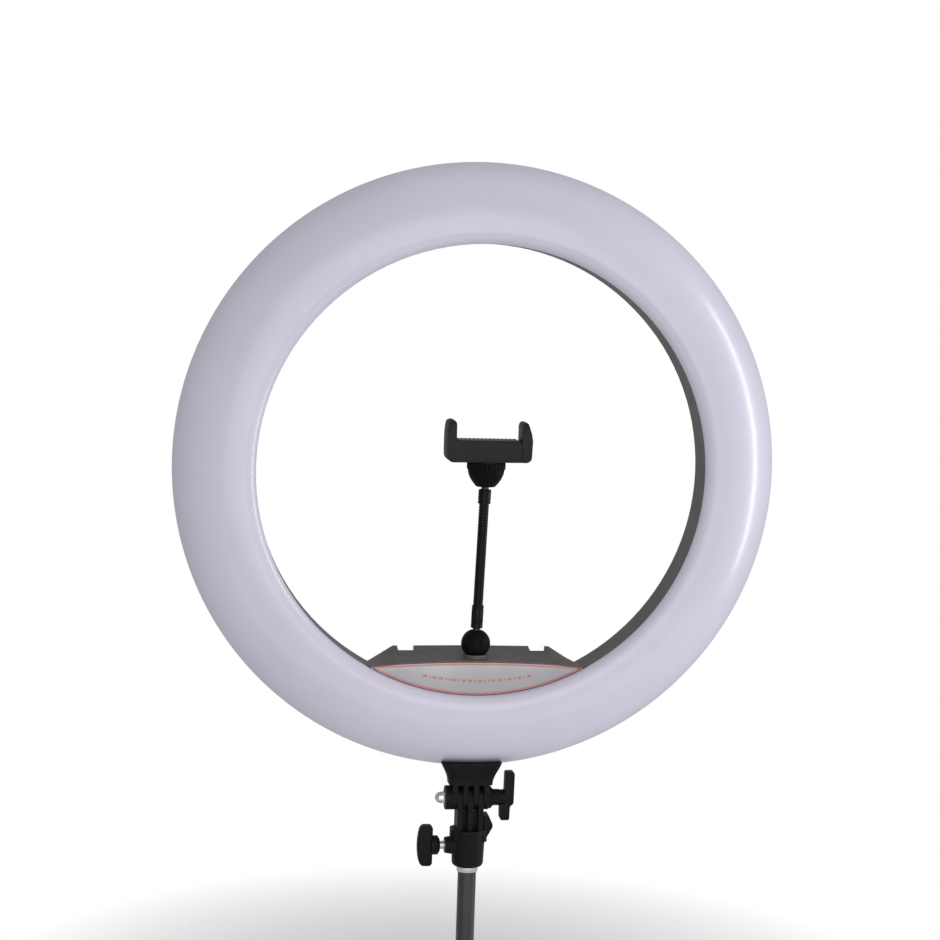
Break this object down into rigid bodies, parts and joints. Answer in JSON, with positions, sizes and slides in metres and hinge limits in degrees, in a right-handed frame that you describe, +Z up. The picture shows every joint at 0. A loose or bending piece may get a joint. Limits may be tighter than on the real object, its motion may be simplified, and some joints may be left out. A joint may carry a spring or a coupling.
{
  "type": "ring light",
  "caption": "Ring light head with opal diffuser, dimmer box, gooseneck phone clamp and tilting foot on the top tube of a light stand.",
  "frame": {"origin": "centre of the cut lower end of the stand's top tube", "axes": "+Z up along the tube, the light shines towards -Y, +X to the right seen from the lit side"},
  "size_m": [0.457, 0.0574, 0.6485],
  "materials": {
    "black_abs": "fine-textured black ABS",
    "housing_abs": "dark grey-brown moulded ABS, fine texture",
    "diffuser_acrylic": "opal white satin diffuser plastic",
    "label_foil": "silver printed foil on a thin plate",
    "black_paint": "black semi-gloss powder coat",
    "chromed_steel": "bright nickel-chrome plate",
    "zinc_steel": "zinc plated steel",
    "black_oxide_steel": "black oxide steel",
    "brass": "plain turned brass",
    "nylon": "natural nylon",
    "black_nylon": "black glass-filled nylon",
    "rubber": "soft black rubber",
    "pcb": "white solder mask board",
    "green_pcb": "green solder mask board",
    "cool_led": "light phosphor, cool white",
    "warm_led": "amber phosphor, warm white",
    "component_black": "moulded component case",
    "ferrite": "ferrite block",
    "lead_insulation": "PVC insulated lead",
    "knob_plastic": "black knob with a pointer groove"
  },
  "bodies": {
    "stand_post": {"stand_tube": "black_paint", "tube_end_plug": "black_nylon", "stand_spigot": "chromed_steel"},
    "adapter": {"socket_body": "black_nylon", "clamp_screw_insert": "brass"},
    "clamp_screw_tip": {"clamp_screw_pad": "nylon"},
    "clamp_wing": {"clamp_screw": "zinc_steel", "clamp_wing_knob": "black_nylon"},
    "head": {"tilt_foot": "black_nylon", "foot_screws": "black_oxide_steel", "rear_housing": "housing_abs", "housing_screws": "black_oxide_steel", "diffuser": "diffuser_acrylic", "led_board_upper": "pcb", "led_board_left": "pcb", "led_board_lower": "pcb", "led_board_right": "pcb", "cool_leds": "cool_led", "warm_leds": "warm_led", "led_board_screws": "zinc_steel", "control_box_front": "housing_abs", "label_plate": "label_foil", "control_board": "green_pcb", "dimmer_potentiometer": "zinc_steel", "colour_potentiometer": "zinc_steel", "power_switch_body": "component_black", "dc_inlet": "component_black", "board_capacitors": "component_black", "board_inductors": "ferrite", "driver_chips": "component_black", "led_leads": "lead_insulation", "arm_base_housing": "black_abs", "arm_base_nut": "zinc_steel", "tilt_dome_nut": "chromed_steel"},
    "tilt_thrust": {"tilt_washer": "black_nylon"},
    "tilt_handle": {"tilt_bolt": "zinc_steel", "tilt_knob": "black_nylon"},
    "dimmer": {"dimmer_shaft": "zinc_steel", "dimmer_knob": "knob_plastic"},
    "colour_dial": {"colour_shaft": "zinc_steel", "colour_knob": "knob_plastic"},
    "switch_rocker": {"power_rocker": "component_black"},
    "arm_lower": {"arm_ball_stud": "black_oxide_steel", "lower_sleeve": "black_paint", "gooseneck": "black_paint"},
    "arm_upper": {"upper_sleeve": "black_paint", "holder_ball_stud": "black_oxide_steel"},
    "holder": {"clamp_base": "black_abs", "fixed_jaw_pad": "rubber", "shelf_pad": "rubber", "clamp_spring": "zinc_steel"},
    "holder_nut": {"ball_lock_nut": "black_abs"},
    "holder_jaw": {"sliding_jaw": "black_abs", "sliding_jaw_pad": "rubber"}
  },
  "joints": [
    {"name": "arm_bend", "type": "hinge", "parent": "arm_lower", "child": "arm_upper", "pos_m": [0.00188, -0.006, 0.35647], "axis": [0.9996, 0, -0.0279], "range_deg": [-50, 50], "deforming": ["gooseneck"]},
    {"name": "arm_swivel", "type": "hinge", "parent": "head", "child": "arm_lower", "pos_m": [0, -0.006, 0.289], "axis": [0.0279, 0, 0.9996], "range_deg": [-90, 90]},
    {"name": "clamp_open", "type": "slide", "parent": "holder", "child": "holder_jaw", "axis": [1, 0, 0], "range_m": [0, 0.028], "stiffness_N_per_m": 180, "springref_m": -0.02, "deforming": ["clamp_spring"]},
    {"name": "head_tilt", "type": "hinge", "parent": "adapter", "child": "head", "pos_m": [0, 0, 0.169], "axis": [1, 0, 0], "range_deg": [-80, 80]},
    {"name": "lock_nut_turn", "type": "hinge", "parent": "holder", "child": "holder_nut", "pos_m": [0.00357, -0.006, 0.41695], "axis": [0, 0, 1], "continuous": true},
    {"name": "holder_tilt", "type": "hinge", "parent": "arm_upper", "child": "holder", "pos_m": [0.00357, -0.006, 0.41695], "axis": [1, 0, 0], "range_deg": [-16, 16]},
    {"name": "base_pan", "type": "hinge", "parent": "stand_post", "child": "adapter", "pos_m": [0, 0, 0.116], "axis": [0, 0, 1], "continuous": true},
    {"name": "knob_brightness", "type": "hinge", "parent": "head", "child": "dimmer", "pos_m": [-0.034, 0.018, 0.2655], "axis": [0, -1, 0], "range_deg": [-140, 140]},
    {"name": "knob_colour", "type": "hinge", "parent": "head", "child": "colour_dial", "pos_m": [0.034, 0.018, 0.2655], "axis": [0, -1, 0], "range_deg": [-140, 140]},
    {"name": "power_switch", "type": "hinge", "parent": "head", "child": "switch_rocker", "pos_m": [0, 0.017, 0.2655], "axis": [1, 0, 0], "range_deg": [-7, 7]},
    {"name": "tilt_knob_travel", "type": "slide", "parent": "head", "child": "tilt_thrust", "axis": [1, 0, 0], "range_m": [0, 0.0015]},
    {"name": "tilt_knob_turn", "type": "hinge", "parent": "tilt_thrust", "child": "tilt_handle", "pos_m": [0.0175, 0, 0.169], "axis": [1, 0, 0], "range_deg": [0, 540]},
    {"name": "wing_knob_travel", "type": "slide", "parent": "adapter", "child": "clamp_screw_tip", "axis": [-1, 0, 0], "range_m": [0, 0.003]},
    {"name": "wing_knob_turn", "type": "hinge", "parent": "clamp_screw_tip", "child": "clamp_wing", "pos_m": [-0.022, 0, 0.132], "axis": [-1, 0, 0], "range_deg": [0, 1080]}
  ],
  "couplings": [
    {"joint": "tilt_knob_turn", "follows": "tilt_knob_travel", "rad_per_m": 6283.2},
    {"joint": "wing_knob_turn", "follows": "wing_knob_travel", "rad_per_m": 6283.2}
  ]
}
